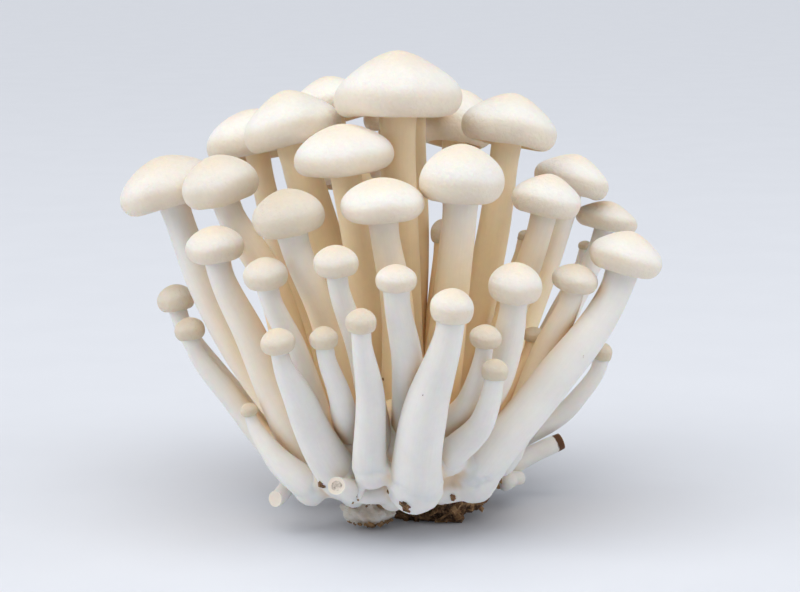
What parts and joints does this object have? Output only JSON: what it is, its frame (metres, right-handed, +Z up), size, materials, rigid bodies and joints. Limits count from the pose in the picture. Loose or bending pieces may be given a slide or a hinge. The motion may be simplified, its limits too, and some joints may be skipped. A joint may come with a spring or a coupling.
{
  "type": "beech mushroom cluster",
  "caption": "Cluster of white beech mushrooms with rounded ivory caps on long pale stems, all growing from one cut base that it stands on.",
  "frame": {"origin": "a point near the middle of the cut, flat underside of the base, on that face", "axes": "+Z up along the stems; -Y is the front, where the shorter mushrooms stand; +X to the right seen from the front"},
  "size_m": [0.1007, 0.0955, 0.0887],
  "materials": {
    "mushroom_flesh": "satin ivory skin over translucent white flesh",
    "bud_flesh": "matt tan skin of young mushrooms",
    "mycelium": "matt felted threads, off-white",
    "substrate": "crumbly brown sawdust and bran"
  },
  "bodies": {
    "root": {"crown_mushroom_1": "mushroom_flesh", "crown_mushroom_2": "mushroom_flesh", "crown_mushroom_3": "mushroom_flesh", "crown_mushroom_4": "mushroom_flesh", "crown_mushroom_5": "mushroom_flesh", "crown_mushroom_6": "mushroom_flesh", "crown_mushroom_7": "mushroom_flesh", "crown_mushroom_8": "mushroom_flesh", "crown_mushroom_9": "mushroom_flesh", "front_mushroom_1": "mushroom_flesh", "front_mushroom_2": "mushroom_flesh", "front_mushroom_3": "mushroom_flesh", "front_mushroom_4": "mushroom_flesh", "front_mushroom_5": "mushroom_flesh", "front_mushroom_6": "mushroom_flesh", "front_mushroom_7": "mushroom_flesh", "front_mushroom_8": "mushroom_flesh", "front_mushroom_9": "mushroom_flesh", "front_mushroom_10": "mushroom_flesh", "front_mushroom_11": "mushroom_flesh", "front_mushroom_12": "mushroom_flesh", "front_mushroom_13": "mushroom_flesh", "left_mushroom_1": "mushroom_flesh", "left_mushroom_2": "mushroom_flesh", "left_mushroom_3": "mushroom_flesh", "left_mushroom_4": "mushroom_flesh", "left_mushroom_5": "mushroom_flesh", "right_mushroom_1": "mushroom_flesh", "right_mushroom_2": "mushroom_flesh", "right_mushroom_3": "mushroom_flesh", "right_mushroom_4": "mushroom_flesh", "right_mushroom_5": "mushroom_flesh", "bud_mushroom_1": "bud_flesh", "bud_mushroom_2": "bud_flesh", "bud_mushroom_3": "bud_flesh", "bud_mushroom_4": "bud_flesh", "bud_mushroom_5": "bud_flesh", "bud_mushroom_6": "bud_flesh", "back_mushroom_1": "mushroom_flesh", "back_mushroom_2": "mushroom_flesh", "back_mushroom_3": "mushroom_flesh", "back_mushroom_4": "mushroom_flesh", "back_mushroom_5": "mushroom_flesh", "back_mushroom_6": "mushroom_flesh", "back_mushroom_7": "mushroom_flesh", "back_mushroom_8": "mushroom_flesh", "back_mushroom_9": "mushroom_flesh", "back_mushroom_10": "mushroom_flesh", "back_mushroom_11": "mushroom_flesh", "back_mushroom_12": "mushroom_flesh", "stub_1": "mushroom_flesh", "stub_2": "mushroom_flesh", "stub_3": "mushroom_flesh", "stub_4": "mushroom_flesh", "stub_5": "mushroom_flesh", "mycelium_mound": "mycelium", "mycelium_lump": "mycelium", "substrate_block": "substrate"}
  },
  "joints": []
}
